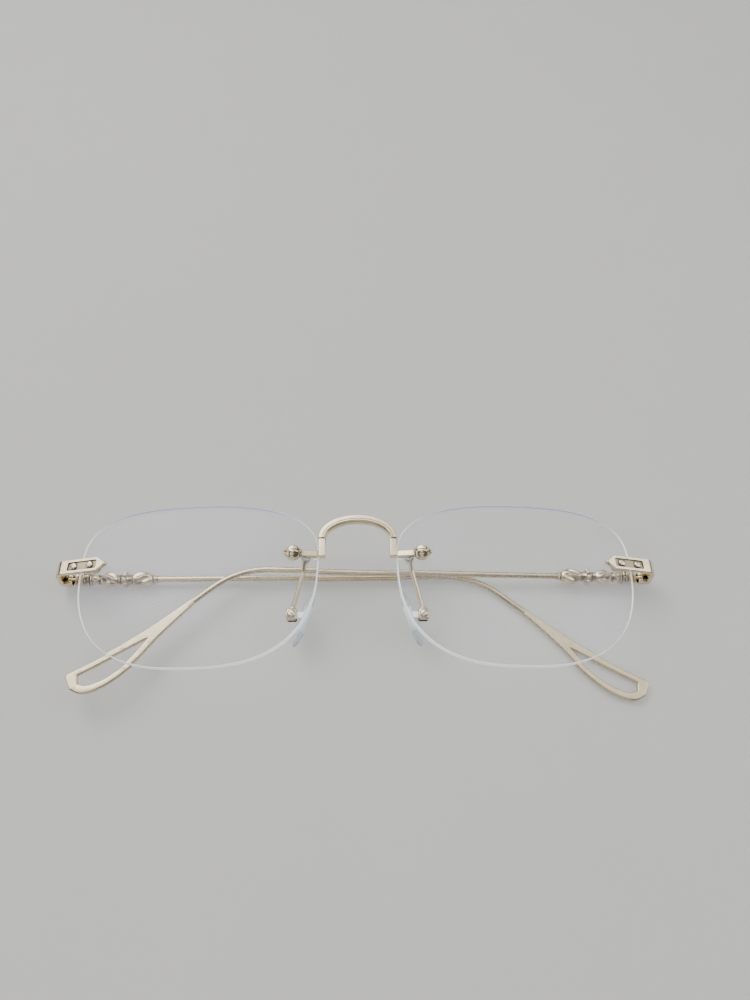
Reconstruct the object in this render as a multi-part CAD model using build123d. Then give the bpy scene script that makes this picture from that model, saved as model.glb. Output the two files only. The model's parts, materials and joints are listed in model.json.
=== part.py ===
from build123d import *
import os
from math import copysign, cos, pi, radians, sin, sqrt

# Rimless eyeglasses lying folded: lens fronts up, temples folded behind the lenses.
# +X runs across the front, to the wearer's left, +Y is up the lens, +Z is out of the lens front.
# Everything on a side is drawn for +X ("right") and mirrored in the YZ plane for -X ("left").
# All sizes are in millimetres and all angles in degrees.

os.makedirs("parts", exist_ok=True)

# ---- driving dimensions -------------------------------------------------------------------
LENS_WIDTH = 56.0
LENS_TOP = 19.7             # lens centre to top edge
LENS_BOTTOM = 19.7          # lens centre to bottom edge
LENS_WAIST = 6.0            # height of the widest line above the lens centre
BRIDGE_GAP = 18.74          # distance between the two lenses
LENS_FRONT_RADIUS = 130.0
LENS_BACK_RADIUS = 122.0
LENS_THICKNESS = 1.7        # at the centre
FACE_FORM = 4.0             # each lens turns back this much at the temple
CORNER_TOP_OUTER = 3.1      # superellipse powers of the four lens corners
CORNER_TOP_INNER = 2.75
CORNER_BOTTOM = 2.55

HINGE_X = 69.0              # hinge axis, parallel to Y
HINGE_Y = 4.15
HINGE_Z = -10.5

BAR_RADIUS = 0.70           # round wire of the temple
BAR_LENGTH = 90.0           # hinge axis to the start of the ear bend
EAR_BEND_RADIUS = 20.0
TIP_THICKNESS = 1.2
TIP_JOIN = 12.0             # the round wire runs this far into the flat tip
EAR_LEAN = 1.0              # the ear bend leans towards the head about the bar's own axis

# The two temples are set a little differently, as a worn pair is.
LEFT_TEMPLE = {"dip": -0.79, "rise": 0.72, "bend": 39.1, "tip_start": 0.0}
RIGHT_TEMPLE = {"dip": 1.2, "rise": 1.15, "bend": 41.0, "tip_start": -2.6}

# ---- lens ---------------------------------------------------------------------------------
LENS_CENTRE_X = BRIDGE_GAP / 2 + LENS_WIDTH / 2
LENS_PLACE = Pos(LENS_CENTRE_X, 0, 0) * Rot(0, FACE_FORM, 0)
BUSH_RADIUS = 0.9
STUD_RADIUS = 0.6
NOTCH_RADIUS = 0.52
PEG_RADIUS = 0.48
PEG_DEPTH = 1.4             # a peg reaches this far below the lens front
ROOT = 0.2                  # studs and pegs run this far into the part that carries them
DRILL_LENGTH = 12.0
NOTCH_LENGTH = 3.0
BLANK_LOW, BLANK_HIGH = -12.0, 4.0      # the lens blank, before its two faces are ground

# Where the two mountings of a lens sit, in the lens's own frame.
NASAL_MOUNT = (-25.4, 6.5)
TEMPLE_MOUNT = (25.2, 5.35)
NASAL_PEG_X = -1.95         # from the stud, along the lens front
TEMPLE_PEG_X = 1.75


def mount_plane(lens_x, lens_y):
    """The plane that touches the lens front at a point of the lens's own frame, normal outwards."""
    height = sqrt(LENS_FRONT_RADIUS**2 - lens_x**2 - lens_y**2)
    point = Vector(lens_x, lens_y, height - LENS_FRONT_RADIUS)
    normal = Vector(lens_x, lens_y, height).normalized()
    along = Vector(height, 0, -lens_x).normalized()
    return Plane(LENS_PLACE * Location(Plane(origin=point, x_dir=along, z_dir=normal)))


NASAL_PLANE = mount_plane(*NASAL_MOUNT)
TEMPLE_PLANE = mount_plane(*TEMPLE_MOUNT)


def lens_outline():
    """A pillow-shaped closed curve: four superellipse quarters about the waist line."""
    points = []
    steps = 48
    for i in range(steps):
        angle = 2 * pi * (i + 0.5) / steps
        c, s = cos(angle), sin(angle)
        height = LENS_TOP - LENS_WAIST if s > 0 else LENS_BOTTOM + LENS_WAIST
        top_power = CORNER_TOP_OUTER if c > 0 else CORNER_TOP_INNER
        power = top_power if s > 0 else CORNER_BOTTOM
        x = copysign(LENS_WIDTH / 2 * abs(c) ** (2 / power), c)
        y = copysign(height * abs(s) ** (2 / power), s)
        points.append((x, LENS_WAIST + y))
    return make_face(Spline(points, periodic=True))


def drill(plane, x, radius):
    """A long cutter through the lens at a distance x from a mounting's centre."""
    return Location(plane) * Pos(x, 0, 0) * Cylinder(radius, DRILL_LENGTH)


def edge_slot(plane, x, outwards):
    """The open-ended notch in the lens edge that an anti-rotation peg sits in."""
    middle = x + outwards * NOTCH_LENGTH / 2
    slot = Pos(middle, 0, 0) * Box(NOTCH_LENGTH, 2 * NOTCH_RADIUS, DRILL_LENGTH)
    return drill(plane, x, NOTCH_RADIUS) + Location(plane) * slot


def lens():
    blank = extrude(Pos(0, 0, BLANK_LOW) * lens_outline(), amount=BLANK_HIGH - BLANK_LOW)
    turned_pole = Rot(90, 0, 0)
    front = Pos(0, 0, -LENS_FRONT_RADIUS) * turned_pole * Sphere(LENS_FRONT_RADIUS)
    back_centre = -LENS_THICKNESS - LENS_BACK_RADIUS
    back = Pos(0, 0, back_centre) * turned_pole * Sphere(LENS_BACK_RADIUS)
    body = LENS_PLACE * (blank & front - back)
    body -= drill(NASAL_PLANE, 0, BUSH_RADIUS)
    body -= drill(TEMPLE_PLANE, 0, BUSH_RADIUS)
    body -= edge_slot(NASAL_PLANE, NASAL_PEG_X, -1)
    body -= edge_slot(TEMPLE_PLANE, TEMPLE_PEG_X, 1)
    return body


# ---- lens mounting hardware ---------------------------------------------------------------
SEAT_GAP = 0.03             # flat parts stand this far off the curved back of the lens
LENS_EDGE_DEPTH = 1.90      # lens thickness at the mountings
WASHER_THICKNESS = 0.25
WASHER_RADIUS = 1.05
EYELET_THICKNESS = 0.7
EYELET_RADIUS = 1.1
NUT_RADIUS = 1.0
NUT_HEIGHT = 1.0
NUT_CROWN_RADIUS = 1.55
NUT_CROWN_RISE = 0.4        # crown sphere's centre above the seat
STUD_TAIL = 0.1             # a stud ends this far past its nut


def ring(outer, inner, low, high):
    """A ring about Z from height low to height high."""
    body = Cylinder(outer, high - low) - Cylinder(inner, 3 * (high - low))
    return Pos(0, 0, (low + high) / 2) * body


def rod(radius, low, high):
    """A round rod about Z from height low to height high."""
    return Pos(0, 0, (low + high) / 2) * Cylinder(radius, high - low)


def along_x(shape, x):
    """Turns a Z-axis shape to lie along X, with its middle at x."""
    return Pos(x, 0, 0) * Rot(0, 90, 0) * shape


def bush(plane):
    return Location(plane) * ring(BUSH_RADIUS, STUD_RADIUS, -LENS_EDGE_DEPTH, -SEAT_GAP)


def washer(plane):
    top = -LENS_EDGE_DEPTH - SEAT_GAP
    return Location(plane) * ring(WASHER_RADIUS, STUD_RADIUS, top - WASHER_THICKNESS, top)


def nut(plane, top):
    """A small hexagonal nut with a rounded crown, its seat at height top."""
    body = extrude(RegularPolygon(NUT_RADIUS, 6), amount=-NUT_HEIGHT)
    crown = Pos(0, 0, NUT_CROWN_RISE) * Sphere(NUT_CROWN_RADIUS)
    bore = rod(STUD_RADIUS, -2 * NUT_HEIGHT, NUT_HEIGHT)
    return Location(plane) * Pos(0, 0, top) * (body & crown - bore)


NASAL_STACK = -LENS_EDGE_DEPTH - SEAT_GAP - WASHER_THICKNESS
NASAL_NUT_TOP = NASAL_STACK - EYELET_THICKNESS
TEMPLE_NUT_TOP = NASAL_STACK

# ---- bridge -------------------------------------------------------------------------------
LEG_X = 8.3
LEG_WIDTH = 1.7
LEG_DEPTH = 1.7
LEG_Z = -0.5
SHOULDER_Y = 10.5           # legs end and the arch begins
ARCH_RISE = 5.0             # shoulder to the middle of the arch's section
ARCH_HEIGHT = 1.7
ARCH_DEPTH = 2.0
FOOT_HEIGHT = 1.5
FOOT_DEPTH = 1.15
FOOT_OUTER = 1.35           # foot end, measured from the stud


def bridge():
    arch_path = EllipticalCenterArc(
        (0, SHOULDER_Y, LEG_Z), LEG_X, ARCH_RISE, start_angle=0, arc_size=180)
    start = Plane(origin=arch_path @ 0, x_dir=(1, 0, 0), z_dir=(0, 1, 0))
    arch = sweep(start * Rectangle(ARCH_HEIGHT, ARCH_DEPTH), path=arch_path)
    foot_inner = NASAL_PLANE.to_local_coords(Vector(LEG_X, 0, 0)).X - LEG_WIDTH / 2
    foot_length = FOOT_OUTER - foot_inner
    foot_middle = (FOOT_OUTER + foot_inner) / 2
    foot_top = NASAL_PLANE.origin.Y + FOOT_HEIGHT / 2
    leg_low = foot_top - FOOT_HEIGHT
    body = arch
    for side in (1, -1):
        leg_height = SHOULDER_Y - leg_low
        leg = Pos(LEG_X, leg_low + leg_height / 2, LEG_Z) * Box(LEG_WIDTH, leg_height, LEG_DEPTH)
        bar = Pos(foot_middle, 0, FOOT_DEPTH / 2) * Box(foot_length, FOOT_HEIGHT, FOOT_DEPTH)
        stud = rod(STUD_RADIUS, NASAL_NUT_TOP - NUT_HEIGHT - STUD_TAIL, ROOT)
        peg = Pos(NASAL_PEG_X, 0, 0) * rod(PEG_RADIUS, -PEG_DEPTH, ROOT)
        foot = Location(NASAL_PLANE) * (bar + stud + peg)
        half = leg + foot
        body += half if side > 0 else mirror(half, about=Plane.YZ)
    return body


FINIAL_RADIUS = 1.85
FINIAL_BALL_X = FOOT_OUTER + 1.85
FINIAL_AXIS_HEIGHT = 1.0    # its axis above the lens front
FINIAL_NECK_RADIUS, FINIAL_NECK_LENGTH = 1.05, 0.6
POINT_ROOT_RADIUS, POINT_TIP_RADIUS, POINT_LENGTH = 0.85, 0.25, 1.1
BEAD_RADIUS = 0.42
LENS_CLEARANCE = 0.03
CUTTER = 20.0               # longer than any small part


def finial():
    """A turned ball with a collar and a pointed bead, cut flat where it lies on the lens."""
    neck = along_x(Cylinder(FINIAL_NECK_RADIUS, FINIAL_NECK_LENGTH), FOOT_OUTER + FINIAL_NECK_LENGTH / 2)
    ball = Pos(FINIAL_BALL_X, 0, 0) * Sphere(FINIAL_RADIUS)
    point_x = FINIAL_BALL_X + FINIAL_RADIUS
    point = along_x(Cone(POINT_ROOT_RADIUS, POINT_TIP_RADIUS, POINT_LENGTH), point_x)
    bead = Pos(point_x + POINT_LENGTH / 2 - BEAD_RADIUS / 2, 0, 0) * Sphere(BEAD_RADIUS)
    body = Pos(0, 0, FINIAL_AXIS_HEIGHT) * (neck + ball + point + bead)
    above_lens = Pos(0, 0, CUTTER / 2 + LENS_CLEARANCE) * Box(CUTTER, CUTTER, CUTTER)
    return Location(NASAL_PLANE) * (body & above_lens)


# ---- nose pads ----------------------------------------------------------------------------
ARM_RADIUS = 0.52
ARM_CLEARANCE = 0.03
ARM_BEND_RADIUS = 3.0
ARM_START = (0.3, -0.8)     # on the eyelet, from the stud
ARM_ELBOW = Vector(12.75, 3.6, -4.3)
PAD_BOX_CENTRE = Vector(15.25, -6.4, -6.4)
PAD_BOX_SIZE = (2.6, 2.8, 2.4)
ARM_END = PAD_BOX_CENTRE + Vector(-0.2, PAD_BOX_SIZE[1] / 2 - 0.05, 0.3)
PAD_SLOT = 1.0              # gap between the two cheeks of the pad box
PAD_SLOT_SHIFT = (-0.5, -0.4)           # the slot is open on the nose side and below
PAD_SCREW_RADIUS = 0.45
PAD_HEAD_RADIUS, PAD_HEAD_HEIGHT = 0.85, 0.4
SLOT_WIDTH, SLOT_DEPTH = 0.22, 0.18     # driver slots
PAD_RUNNING_GAP = 0.05
LUG_THICKNESS = 0.84
LUG_HEIGHT = 1.5
LUG_EYE_RADIUS = 0.75
LUG_INNER_X = 12.0          # the lug ends inside the pad
PAD_CENTRE = Vector(12.6, -6.6, -8.3)
PAD_LENGTH = 13.6
PAD_WIDTH = 6.6
PAD_THICKNESS = 1.9
PAD_EDGE_ROUND = 0.8
PAD_TOP_SPREAD = 17.0       # frontal angle of the pad
PAD_SPLAY = 18.0            # the pads open towards the face
CORE_LENGTH = 6.4
CORE_WIDTH = 3.4
CORE_THICKNESS = 0.8


def pad_plane():
    """The middle plane of the right pad, x along its length, normal towards the nose."""
    spread, splay = radians(PAD_TOP_SPREAD), radians(PAD_SPLAY)
    along = (sin(spread), -cos(spread), 0)
    normal = (-cos(spread) * cos(splay), -sin(spread) * cos(splay), -sin(splay))
    return Plane(origin=PAD_CENTRE, x_dir=along, z_dir=normal)


def pad_arm():
    eyelet = ring(EYELET_RADIUS, STUD_RADIUS, NASAL_NUT_TOP, NASAL_STACK)
    eyelet = Location(NASAL_PLANE) * eyelet
    mid_depth = (NASAL_NUT_TOP + NASAL_STACK) / 2
    start = NASAL_PLANE.from_local_coords(Vector(*ARM_START, mid_depth))
    path = FilletPolyline(start, ARM_ELBOW, ARM_END, radius=ARM_BEND_RADIUS)
    wire = sweep(Plane(origin=path @ 0, z_dir=path % 0) * Circle(ARM_RADIUS), path=path)
    clear_of_stud = rod(STUD_RADIUS + ARM_CLEARANCE, -CUTTER, CUTTER)
    clear_of_nut = rod(NUT_RADIUS + ARM_CLEARANCE, -CUTTER, NASAL_NUT_TOP)
    wire -= Location(NASAL_PLANE) * (clear_of_stud + clear_of_nut)
    return (eyelet + wire) - pad_box_block()


def pad_box_block():
    return Pos(PAD_BOX_CENTRE) * Box(*PAD_BOX_SIZE)


def pad_box():
    """Two cheeks and an outer wall; the pad's lug swings between the cheeks."""
    slot = Pos(*PAD_SLOT_SHIFT, 0) * Box(PAD_BOX_SIZE[0], PAD_BOX_SIZE[1], PAD_SLOT)
    hole = Cylinder(PAD_SCREW_RADIUS, CUTTER)
    return Pos(PAD_BOX_CENTRE) * (Box(*PAD_BOX_SIZE) - slot - hole)


def pad_screw():
    top = PAD_BOX_SIZE[2] / 2
    head = rod(PAD_HEAD_RADIUS, top, top + PAD_HEAD_HEIGHT)
    slot = Pos(0, 0, top + PAD_HEAD_HEIGHT) * Box(3 * PAD_HEAD_RADIUS, SLOT_WIDTH, 2 * SLOT_DEPTH)
    return Pos(PAD_BOX_CENTRE) * (rod(PAD_SCREW_RADIUS, -top, top) + head - slot)


def pad_core():
    """The hard insert inside the pad, with the lug that the screw passes through."""
    plane = pad_plane()
    plate = extrude(Ellipse(CORE_LENGTH / 2, CORE_WIDTH / 2), CORE_THICKNESS / 2, both=True)
    plate = Location(plane) * plate
    reach = PAD_BOX_CENTRE.X - LUG_INNER_X
    lug = Pos(-reach / 2, 0, 0) * Box(reach, LUG_HEIGHT, LUG_THICKNESS)
    eye = Cylinder(LUG_EYE_RADIUS, LUG_THICKNESS) + lug
    eye = Pos(PAD_BOX_CENTRE) * (eye - Cylinder(PAD_SCREW_RADIUS + PAD_RUNNING_GAP, CUTTER))
    return plate + eye


def nose_pad():
    plane = pad_plane()
    blank = extrude(Ellipse(PAD_LENGTH / 2, PAD_WIDTH / 2), PAD_THICKNESS / 2, both=True)
    blank = fillet(blank.edges(), PAD_EDGE_ROUND)
    return Location(plane) * blank - pad_core()


# ---- end pieces and hinges ----------------------------------------------------------------
PLATE_HEIGHT = 3.5
PLATE_THICKNESS = 1.1
PLATE_SQUARE_END = -1.9     # the plate is pointed inboard of this
PLATE_POINT = -3.7
PLATE_BALL_RADIUS = 0.55
WALL_X = 70.65              # middle of the return that runs back to the hinge
WALL_BOTTOM = -11.0
WALL_TAPER_TOP = -6.2       # the return narrows from here to its foot
WALL_FOOT_HALF = 1.15
RETURN_RADIUS = 1.7
RECESS_LENGTH, RECESS_HEIGHT, RECESS_DEPTH = 7.6, 2.2, 0.3
RECESS_X = 1.9              # middle of the recess, from the stud
TRIM_SCREW_X = 4.2          # second screw head on the plate
TRIM_SHANK_RADIUS = 0.5
TRIM_SHANK_LOW = 0.25       # the trim screw ends inside the plate
HEAD_RADIUS, HEAD_HEIGHT = 0.85, 0.45   # the two domed heads on the plate
HEAD_DOME_RADIUS = 1.3
KNUCKLE_RADIUS = 0.95
KNUCKLE_INNER = 0.42        # front knuckles run from here to KNUCKLE_OUTER each side
KNUCKLE_OUTER = 1.15
WEB_DEPTH = 1.7
TONGUE_HALF = 0.37          # half height of the temple's knuckle
HINGE_SCREW_RADIUS = 0.55
HINGE_HEAD_RADIUS, HINGE_HEAD_HEIGHT = 0.9, 0.4
HINGE_RUNNING_GAP = 0.05
HINGE_PLACE = Pos(HINGE_X, HINGE_Y, HINGE_Z)
UPRIGHT = Rot(90, 0, 0)     # turns a Z cylinder to lie along Y


def return_outline():
    """The outline seen along X that narrows the return towards the hinge."""
    middle, half = TEMPLE_MOUNT[1], 0.6 * PLATE_HEIGHT
    low = WALL_BOTTOM - PLATE_THICKNESS
    corners = [
        (middle + half, CUTTER), (middle - half, CUTTER), (middle - half, WALL_TAPER_TOP),
        (HINGE_Y - WALL_FOOT_HALF, low), (HINGE_Y + WALL_FOOT_HALF, low),
        (middle + half, WALL_TAPER_TOP)]
    face = make_face(Polyline(*corners, close=True))
    return extrude(Plane(origin=(0, 0, 0), x_dir=(0, 1, 0), z_dir=(1, 0, 0)) * face, amount=2 * WALL_X)


def end_piece():
    half = PLATE_THICKNESS / 2
    start = TEMPLE_PLANE.from_local_coords(Vector(PLATE_SQUARE_END, 0, half))
    along = TEMPLE_PLANE.x_dir
    run = (WALL_X - start.X) / along.X
    corner = start + along * run
    foot = Vector(WALL_X, HINGE_Y, WALL_BOTTOM)
    path = FilletPolyline(start, corner, foot, radius=RETURN_RADIUS)
    section = Plane(origin=path @ 0, x_dir=TEMPLE_PLANE.y_dir, z_dir=path % 0)
    strap = sweep(section * Rectangle(PLATE_HEIGHT, PLATE_THICKNESS), path=path) & return_outline()
    h = PLATE_HEIGHT / 2
    arrow = make_face(Polyline(
        (PLATE_SQUARE_END, h), (PLATE_POINT, 0), (PLATE_SQUARE_END, -h), close=True))
    nose = extrude(arrow, amount=PLATE_THICKNESS)
    nose += Pos(PLATE_POINT, 0, half) * Sphere(PLATE_BALL_RADIUS)
    recess = Pos(RECESS_X, 0, PLATE_THICKNESS) * Box(RECESS_LENGTH, RECESS_HEIGHT, 2 * RECESS_DEPTH)
    stud_hole = rod(STUD_RADIUS, -CUTTER, CUTTER)
    trim_hole = Pos(TRIM_SCREW_X, 0, 0) * rod(TRIM_SHANK_RADIUS, TRIM_SHANK_LOW, CUTTER)
    peg = Pos(TEMPLE_PEG_X, 0, 0) * rod(PEG_RADIUS, -PEG_DEPTH, ROOT)
    plate = Location(TEMPLE_PLANE)
    body = strap + plate * (nose + peg) - plate * (recess + stud_hole + trim_hole)
    return body + front_knuckles()


def front_knuckles():
    """The two outer barrels of the hinge, tied to the return by short webs."""
    tall = KNUCKLE_OUTER - KNUCKLE_INNER
    reach = WALL_X - HINGE_X
    both = None
    for side in (1, -1):
        y = side * (KNUCKLE_INNER + KNUCKLE_OUTER) / 2
        barrel = Pos(0, y, 0) * UPRIGHT * Cylinder(KNUCKLE_RADIUS, tall)
        web = Pos(reach / 2, y, 0) * Box(reach, tall, WEB_DEPTH)
        bore = Pos(0, y, 0) * UPRIGHT * Cylinder(HINGE_SCREW_RADIUS, 3 * tall)
        knuckle = barrel + web - bore
        both = knuckle if both is None else both + knuckle
    return HINGE_PLACE * both


def hinge_screw():
    shank = UPRIGHT * Cylinder(HINGE_SCREW_RADIUS, 2 * KNUCKLE_OUTER)
    head = UPRIGHT * Cylinder(HINGE_HEAD_RADIUS, HINGE_HEAD_HEIGHT)
    head = Pos(0, KNUCKLE_OUTER + HINGE_HEAD_HEIGHT / 2, 0) * head
    slot = Box(3 * HINGE_HEAD_RADIUS, 2 * SLOT_DEPTH, SLOT_WIDTH)
    slot = Pos(0, KNUCKLE_OUTER + HINGE_HEAD_HEIGHT, 0) * slot
    return HINGE_PLACE * (shank + head - slot)


def domed_screw(shank_radius, bottom):
    """A screw along Z with a domed, slotted head that sits on the floor of the plate's recess."""
    seat = PLATE_THICKNESS - RECESS_DEPTH
    top = seat + HEAD_HEIGHT
    dome = Pos(0, 0, top - HEAD_DOME_RADIUS) * Sphere(HEAD_DOME_RADIUS)
    head = rod(HEAD_RADIUS, seat, top + HEAD_HEIGHT) & dome
    slot = Pos(0, 0, top) * Box(3 * HEAD_RADIUS, SLOT_WIDTH, 2 * SLOT_DEPTH)
    return rod(shank_radius, bottom, seat) + head - slot


def end_piece_screw():
    bottom = TEMPLE_NUT_TOP - NUT_HEIGHT - STUD_TAIL
    return Location(TEMPLE_PLANE) * domed_screw(STUD_RADIUS, bottom)


def trim_screw():
    screw = domed_screw(TRIM_SHANK_RADIUS, TRIM_SHANK_LOW)
    return Location(TEMPLE_PLANE) * Pos(TRIM_SCREW_X, 0, 0) * screw


# ---- temples ------------------------------------------------------------------------------
# A temple is drawn along +X from its hinge axis, Y up, and -Z towards the lenses.
BLOCK_START = 1.4
BLOCK_END = 3.9
BLOCK_HEIGHT = 2.7
BLOCK_DEPTH = 2.4
BLOCK_CHAMFER = 0.3
BLOCK_NECK_DEPTH = 1.7
BLOCK_OVERLAP = 0.1         # the neck runs this far into the block
CORE_RADIUS = 0.6           # the wire's thin end, which the beads are threaded on
SPIGOT_START = 2.6
RING_SPAN = (3.95, 5.8)
NECK_SPAN = (5.8, 7.4)
REAR_OLIVE_SPAN = (7.4, 12.0)
COLLAR_SPAN = (12.0, 14.8)
FRONT_OLIVE_SPAN = (14.8, 20.9)
COLLAR_BEADS = 8
COLLAR_BEAD_RADIUS = 0.6
COLLAR_BEAD_CIRCLE = 1.4

# The tip, in a frame that starts where the ear bend ends: a flat loop with a blunt end.
TIP_UPPER = [(8.0, 0.62), (21.0, 1.0), (31.5, 2.1), (39.8, 3.6)]
TIP_LOWER = [
    (40.5, 0.2), (39.2, -2.1), (36.3, -3.5), (32.0, -4.15), (26.0, -3.75), (18.5, -2.1), (8.0, -0.62)]
HOLE_UPPER = [(20.9, -0.95), (29.2, 0.35), (37.6, 1.8)]
HOLE_LOWER = [(38.5, 0.1), (37.3, -1.3), (35.2, -2.2), (32.0, -2.75), (27.0, -2.5), (20.9, -0.95)]
TIP_CORNER, HOLE_CORNER = 0.9, 0.4
CORE_RUN_IN = 0.5           # the thin core runs this far into the round bar


def turned(span, end_radii, middle_radius):
    """A bead turned about X: an arc between two end radii, bored for the core wire."""
    start, end = span
    middle = (start + end) / 2
    first, last = end_radii
    top = ThreePointArc((start, first), (middle, middle_radius), (end, last))
    rest = Polyline((end, last), (end, CORE_RADIUS), (start, CORE_RADIUS), (start, first))
    return revolve(make_face(top + rest), axis=Axis.X)


def hinge_block():
    tongue = UPRIGHT * Cylinder(KNUCKLE_RADIUS, 2 * TONGUE_HALF)
    neck_length = BLOCK_START + BLOCK_OVERLAP
    neck = Pos(neck_length / 2, 0, 0) * Box(neck_length, 2 * TONGUE_HALF, BLOCK_NECK_DEPTH)
    length = BLOCK_END - BLOCK_START
    block = Pos(BLOCK_START + length / 2, 0, 0) * Box(length, BLOCK_HEIGHT, BLOCK_DEPTH)
    block = chamfer(block.edges(), BLOCK_CHAMFER)
    bore = UPRIGHT * Cylinder(HINGE_SCREW_RADIUS + HINGE_RUNNING_GAP, CUTTER)
    return tongue + neck + block - bore


def collar():
    """A ring of small beads round a disc."""
    start, end = COLLAR_SPAN
    middle = (start + end) / 2
    body = turned(COLLAR_SPAN, (1.2, 1.2), 1.35)
    for i in range(COLLAR_BEADS):
        angle = 2 * pi * (i + 0.5) / COLLAR_BEADS
        across = (COLLAR_BEAD_CIRCLE * cos(angle), COLLAR_BEAD_CIRCLE * sin(angle))
        body += Pos(middle, *across) * Sphere(COLLAR_BEAD_RADIUS)
    return body - along_x(Cylinder(CORE_RADIUS, CUTTER), middle)


def loop_face(upper, lower, corner_radius):
    """A closed outline of an upper and a lower edge, joined by a straight blunt end."""
    upper_edge = Spline(upper)
    lower_edge = Spline(lower)
    blunt = Line(upper[-1], lower[0])
    edges = upper_edge + blunt + lower_edge
    if upper[0] != lower[-1]:
        edges += Line(lower[-1], upper[0])
    face = make_face(edges)
    corner = face.vertices().sort_by_distance((*upper[-1], 0))[0]
    return fillet(corner, corner_radius)


def tip_plate():
    outer = loop_face(TIP_UPPER, TIP_LOWER, TIP_CORNER)
    hole = loop_face(HOLE_UPPER, HOLE_LOWER, HOLE_CORNER)
    return extrude(outer - hole, TIP_THICKNESS / 2, both=True)


def temple(bend, tip_start):
    """The wire: a thin core, the bar, the ear bend and the flat loop tip."""
    bar_start = FRONT_OLIVE_SPAN[1]
    core_end = bar_start + CORE_RUN_IN
    core = along_x(Cylinder(CORE_RADIUS, core_end - SPIGOT_START), (core_end + SPIGOT_START) / 2)
    lean = Pos(BAR_LENGTH, 0, 0) * Rot(EAR_LEAN, 0, 0)
    bend_arc = CenterArc((0, -EAR_BEND_RADIUS, 0), EAR_BEND_RADIUS, 90, -bend)
    after_bend = Plane(origin=bend_arc @ 1, x_dir=bend_arc % 1, z_dir=(0, 0, 1))
    run = Line(bend_arc @ 1, bend_arc @ 1 + (bend_arc % 1) * (TIP_JOIN + tip_start))
    path = Line((bar_start, 0, 0), (BAR_LENGTH, 0, 0)) + lean * bend_arc + lean * run
    section = Plane(origin=path @ 0, z_dir=path % 0) * Circle(BAR_RADIUS)
    bar = sweep(section, path=path)
    return core + bar + lean * Location(after_bend) * Pos(tip_start, 0, 0) * tip_plate()


def temple_pieces(setting):
    """The named pieces of a right temple, folded behind the lenses."""
    set_up = Pos(BLOCK_END, 0, 0) * Rot(0, 0, setting["rise"]) * Pos(-BLOCK_END, 0, 0)
    folded = HINGE_PLACE * Rot(0, 180 + setting["dip"], 0)
    wire = set_up * temple(setting["bend"], setting["tip_start"])
    return {
        "hinge_block": folded * (hinge_block() - wire),
        "temple_wire": folded * wire,
        "temple_ring": folded * set_up * turned(RING_SPAN, (1.25, 1.25), 1.85),
        "temple_neck": folded * set_up * turned(NECK_SPAN, (1.3, 1.3), 1.2),
        "temple_rear_olive": folded * set_up * turned(REAR_OLIVE_SPAN, (1.1, 1.1), 1.65),
        "temple_collar": folded * set_up * collar(),
        "temple_front_olive": folded * set_up * turned(FRONT_OLIVE_SPAN, (1.1, 0.85), 1.75),
    }


# ---- assembly -----------------------------------------------------------------------------
def both_sides(shape):
    """A pair of mirror-image solids in one node."""
    return Compound(children=[shape, mirror(shape, about=Plane.YZ)])


def all_nodes():
    nodes = {"bridge": bridge()}
    handed = {
        "lens": lens(),
        "bridge_finial": finial(),
        "pad_arm": pad_arm(),
        "pad_box": pad_box(),
        "pad_screw": pad_screw(),
        "nose_pad": nose_pad(),
        "pad_core": pad_core(),
        "end_piece": end_piece(),
        "hinge_screw": hinge_screw(),
    }
    for name, shape in handed.items():
        nodes[f"{name}_right"] = shape
        nodes[f"{name}_left"] = mirror(shape, about=Plane.YZ)
    for name, shape in temple_pieces(RIGHT_TEMPLE).items():
        nodes[f"{name}_right"] = shape
    for name, shape in temple_pieces(LEFT_TEMPLE).items():
        nodes[f"{name}_left"] = mirror(shape, about=Plane.YZ)
    pairs = {
        "bridge_bushes": bush(NASAL_PLANE),
        "bridge_washers": washer(NASAL_PLANE),
        "bridge_nuts": nut(NASAL_PLANE, NASAL_NUT_TOP),
        "end_piece_screws": end_piece_screw(),
        "end_piece_trim_screws": trim_screw(),
        "end_piece_bushes": bush(TEMPLE_PLANE),
        "end_piece_washers": washer(TEMPLE_PLANE),
        "end_piece_nuts": nut(TEMPLE_PLANE, TEMPLE_NUT_TOP),
    }
    for name, shape in pairs.items():
        nodes[name] = both_sides(shape)
    return nodes


def origin_shift(nodes):
    """Moves the origin to the middle of the underside of the whole pair."""
    boxes = [shape.bounding_box() for shape in nodes.values()]
    low = [min(getattr(b.min, a) for b in boxes) for a in "XYZ"]
    high = [max(getattr(b.max, a) for b in boxes) for a in "XYZ"]
    return Pos(-(low[0] + high[0]) / 2, -(low[1] + high[1]) / 2, -low[2])


NODES = all_nodes()
SHIFT = origin_shift(NODES)
for node, shape in NODES.items():
    export_step(SHIFT * shape, f"parts/{node}.step")
print("origin shift", SHIFT.position)
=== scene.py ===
import json
from math import cos, pi, radians, sin, sqrt, tan

import bmesh
import bpy
from mathutils import Matrix, Vector


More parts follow.
